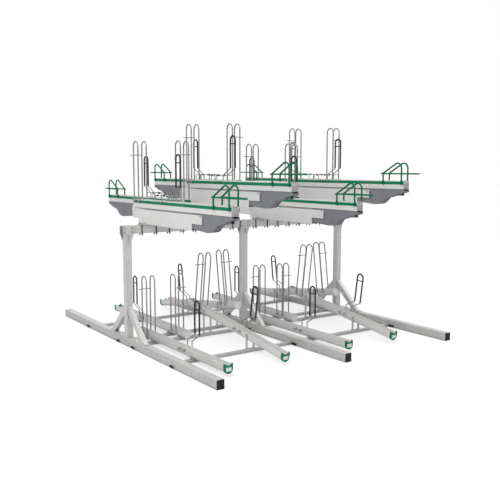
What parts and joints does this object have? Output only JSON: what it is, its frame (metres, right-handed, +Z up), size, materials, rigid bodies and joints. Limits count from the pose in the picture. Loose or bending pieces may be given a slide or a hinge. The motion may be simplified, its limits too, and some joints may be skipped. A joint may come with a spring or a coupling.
{
  "type": "two tier bike rack",
  "caption": "Free standing two tier bicycle rack, double sided: sliding and tilting wheel trays on a beam above, fixed floor troughs with wheel hoops and lock loops below.",
  "frame": {"origin": "on the floor, under the middle post, at the centre of the rack's footprint", "axes": "+X along the beams, +Y along the floor runners, +Z up"},
  "size_m": [3.356, 4.004, 2.5699],
  "materials": {
    "galvanised": "hot dip galvanised, matt",
    "sheet": "pregalvanised sheet, satin",
    "green_paint": "powder coat, satin",
    "green_plastic": "moulded, satin",
    "dark_paint": "powder coat, matt",
    "black_plastic": "moulded, matt",
    "black_bolt": "black coated"
  },
  "bodies": {
    "rack": {"runner_left": "galvanised", "runner_middle": "galvanised", "runner_right": "galvanised", "post_left": "galvanised", "post_middle": "galvanised", "post_right": "galvanised", "beam_left": "galvanised", "beam_right": "galvanised", "tube_caps": "black_plastic", "foot_plates": "galvanised", "braces": "galvanised", "head_cheeks": "galvanised", "head_packers": "galvanised", "head_bolts": "galvanised", "foot_bolts": "galvanised", "tray_seats": "galvanised", "clamp_rods": "galvanised", "support_boxes": "sheet", "pivot_pins": "galvanised", "floor_rails": "galvanised", "rail_bolts": "black_bolt", "troughs_flat": "sheet", "troughs_raised": "sheet", "trough_shoes": "green_plastic", "trough_hoops": "galvanised", "trough_loops": "galvanised", "trough_stands": "galvanised"},
    "arm_1": {"arm_1": "dark_paint"},
    "tray_1": {"tray_1": "sheet", "grip_1": "green_paint", "hoops_1": "galvanised"},
    "arm_2": {"arm_2": "dark_paint"},
    "tray_2": {"tray_2": "sheet", "grip_2": "green_paint", "hoops_2": "galvanised"},
    "arm_3": {"arm_3": "dark_paint"},
    "tray_3": {"tray_3": "sheet", "grip_3": "green_paint", "hoops_3": "galvanised"},
    "arm_4": {"arm_4": "dark_paint"},
    "tray_4": {"tray_4": "sheet", "grip_4": "green_paint", "hoops_4": "galvanised"},
    "arm_5": {"arm_5": "dark_paint"},
    "tray_5": {"tray_5": "sheet", "grip_5": "green_paint", "hoops_5": "galvanised"},
    "arm_6": {"arm_6": "dark_paint"},
    "tray_6": {"tray_6": "sheet", "grip_6": "green_paint", "hoops_6": "galvanised"},
    "arm_7": {"arm_7": "dark_paint"},
    "tray_7": {"tray_7": "sheet", "grip_7": "green_paint", "hoops_7": "galvanised"},
    "arm_8": {"arm_8": "dark_paint"},
    "tray_8": {"tray_8": "sheet", "grip_8": "green_paint", "hoops_8": "galvanised"}
  },
  "joints": [
    {"name": "tilt_1", "type": "hinge", "parent": "rack", "child": "arm_1", "pos_m": [-1.3325, -1.245, 1.55], "axis": [1, 0, 0], "range_deg": [0, 36]},
    {"name": "slide_1", "type": "slide", "parent": "arm_1", "child": "tray_1", "axis": [0, -1, 0], "range_m": [0, 1.4]},
    {"name": "tilt_2", "type": "hinge", "parent": "rack", "child": "arm_2", "pos_m": [-0.9775, 1.245, 1.55], "axis": [-1, 0, 0], "range_deg": [0, 36]},
    {"name": "slide_2", "type": "slide", "parent": "arm_2", "child": "tray_2", "axis": [0, 1, 0], "range_m": [0, 1.4]},
    {"name": "tilt_3", "type": "hinge", "parent": "rack", "child": "arm_3", "pos_m": [-0.6225, -1.245, 1.77], "axis": [1, 0, 0], "range_deg": [0, 36]},
    {"name": "slide_3", "type": "slide", "parent": "arm_3", "child": "tray_3", "axis": [0, -1, 0], "range_m": [0, 1.4]},
    {"name": "tilt_4", "type": "hinge", "parent": "rack", "child": "arm_4", "pos_m": [-0.2675, 1.245, 1.77], "axis": [-1, 0, 0], "range_deg": [0, 36]},
    {"name": "slide_4", "type": "slide", "parent": "arm_4", "child": "tray_4", "axis": [0, 1, 0], "range_m": [0, 1.4]},
    {"name": "tilt_5", "type": "hinge", "parent": "rack", "child": "arm_5", "pos_m": [0.2675, -1.245, 1.55], "axis": [1, 0, 0], "range_deg": [0, 36]},
    {"name": "slide_5", "type": "slide", "parent": "arm_5", "child": "tray_5", "axis": [0, -1, 0], "range_m": [0, 1.4]},
    {"name": "tilt_6", "type": "hinge", "parent": "rack", "child": "arm_6", "pos_m": [0.6225, 1.245, 1.55], "axis": [-1, 0, 0], "range_deg": [0, 36]},
    {"name": "slide_6", "type": "slide", "parent": "arm_6", "child": "tray_6", "axis": [0, 1, 0], "range_m": [0, 1.4]},
    {"name": "tilt_7", "type": "hinge", "parent": "rack", "child": "arm_7", "pos_m": [0.9775, -1.245, 1.77], "axis": [1, 0, 0], "range_deg": [0, 36]},
    {"name": "slide_7", "type": "slide", "parent": "arm_7", "child": "tray_7", "axis": [0, -1, 0], "range_m": [0, 1.4]},
    {"name": "tilt_8", "type": "hinge", "parent": "rack", "child": "arm_8", "pos_m": [1.3325, 1.245, 1.77], "axis": [-1, 0, 0], "range_deg": [0, 36]},
    {"name": "slide_8", "type": "slide", "parent": "arm_8", "child": "tray_8", "axis": [0, 1, 0], "range_m": [0, 1.4]}
  ]
}
